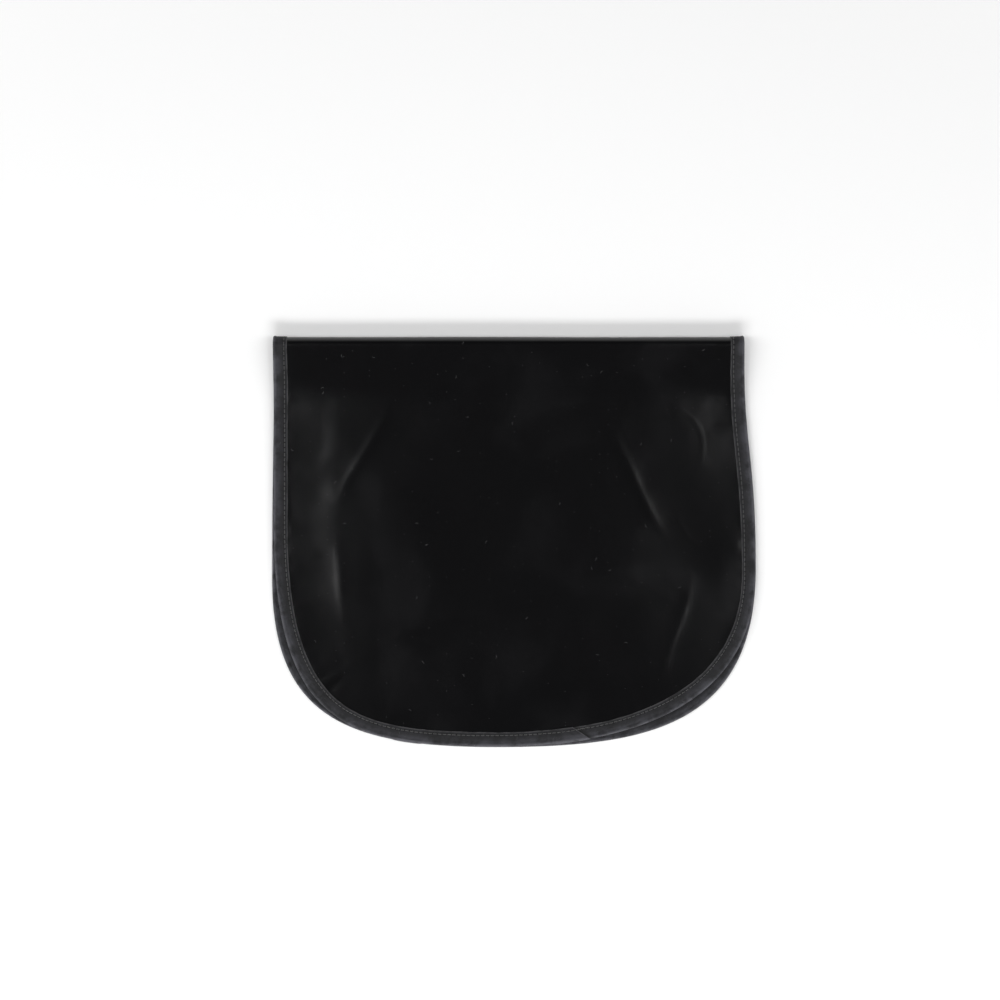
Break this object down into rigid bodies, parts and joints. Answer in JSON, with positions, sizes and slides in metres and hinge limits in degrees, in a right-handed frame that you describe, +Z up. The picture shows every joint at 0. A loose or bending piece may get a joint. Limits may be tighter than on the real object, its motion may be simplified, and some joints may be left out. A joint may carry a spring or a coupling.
{
  "type": "car side window sunshade",
  "caption": "Rounded black static-cling window shade with a sprung wire rim bound in sewn tape, folded once across its middle and lying flat.",
  "frame": {"origin": "centre of the folded shade's footprint, on the surface it lies on", "axes": "+X across the shade along the fold, +Y from the rounded open end to the fold, +Z up off the surface it lies on"},
  "size_m": [0.38, 0.3228, 0.0145],
  "materials": {
    "cling_film": "smooth glossy black vinyl film with a faint grain",
    "woven_tape": "matt black woven polyester tape with a fine rib across it",
    "spring_wire": "drawn spring wire, lightly oiled",
    "sleeve_metal": "plain rolled strip"
  },
  "bodies": {
    "root": {"film_panel": "cling_film", "binding_tape": "woven_tape", "frame_wire": "spring_wire", "wire_sleeve": "sleeve_metal"}
  },
  "joints": []
}
